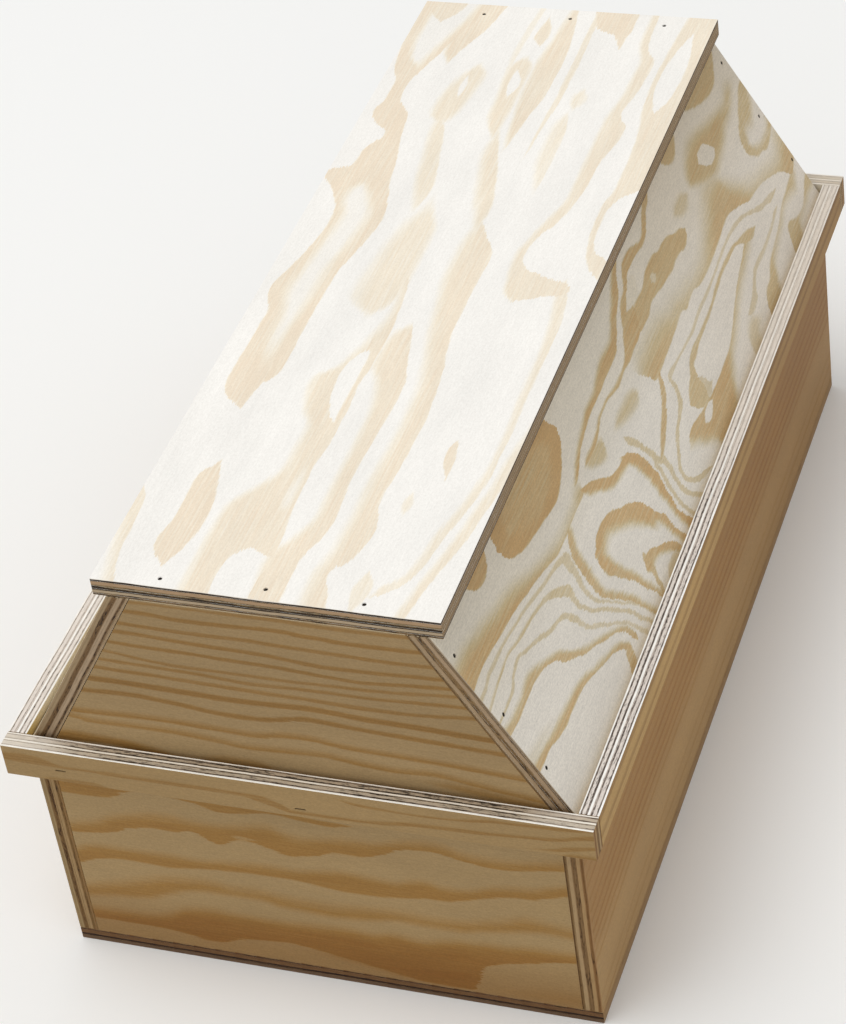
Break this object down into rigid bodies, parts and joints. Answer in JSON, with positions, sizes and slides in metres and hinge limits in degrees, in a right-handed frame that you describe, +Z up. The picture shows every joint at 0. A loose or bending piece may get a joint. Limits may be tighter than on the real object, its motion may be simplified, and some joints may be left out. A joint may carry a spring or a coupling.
{
  "type": "pet coffin",
  "caption": "Nailed plywood pet coffin: a long box with a raised rim, and a lift-off lid with a flat top and sloping sides that seats inside the rim.",
  "frame": {"origin": "middle of the underside of the base board, the face that it stands on", "axes": "+Z up out of the lid; Y along the coffin, with the end seen in the picture at -Y; X across it"},
  "size_m": [0.3606, 0.6416, 0.304],
  "materials": {
    "base_plywood": "raw softwood plywood, sanded",
    "side_plywood": "raw softwood plywood, straight grain, sanded",
    "end_plywood": "raw softwood plywood, wavy flat-cut grain, sanded",
    "rim_plywood": "raw softwood plywood, sawn edge with plies showing",
    "lid_top_plywood": "pale rotary-cut softwood veneer, sanded",
    "lid_slope_plywood": "pale rotary-cut softwood veneer, swirled figure, sanded",
    "lid_end_plywood": "raw softwood plywood, fine straight grain, sanded",
    "nail_steel": "small dull steel nail heads set just below the surface"
  },
  "bodies": {
    "root": {"base_board": "base_plywood", "side_board_left": "side_plywood", "side_board_right": "side_plywood", "end_board_front": "end_plywood", "end_board_rear": "end_plywood", "rim_strip_left": "rim_plywood", "rim_strip_right": "rim_plywood", "rim_strip_front": "rim_plywood", "rim_strip_rear": "rim_plywood", "lid_top_board": "lid_top_plywood", "lid_sloping_board_left": "lid_slope_plywood", "lid_sloping_board_right": "lid_slope_plywood", "lid_end_board_front": "lid_end_plywood", "lid_end_board_rear": "lid_end_plywood"}
  },
  "joints": []
}
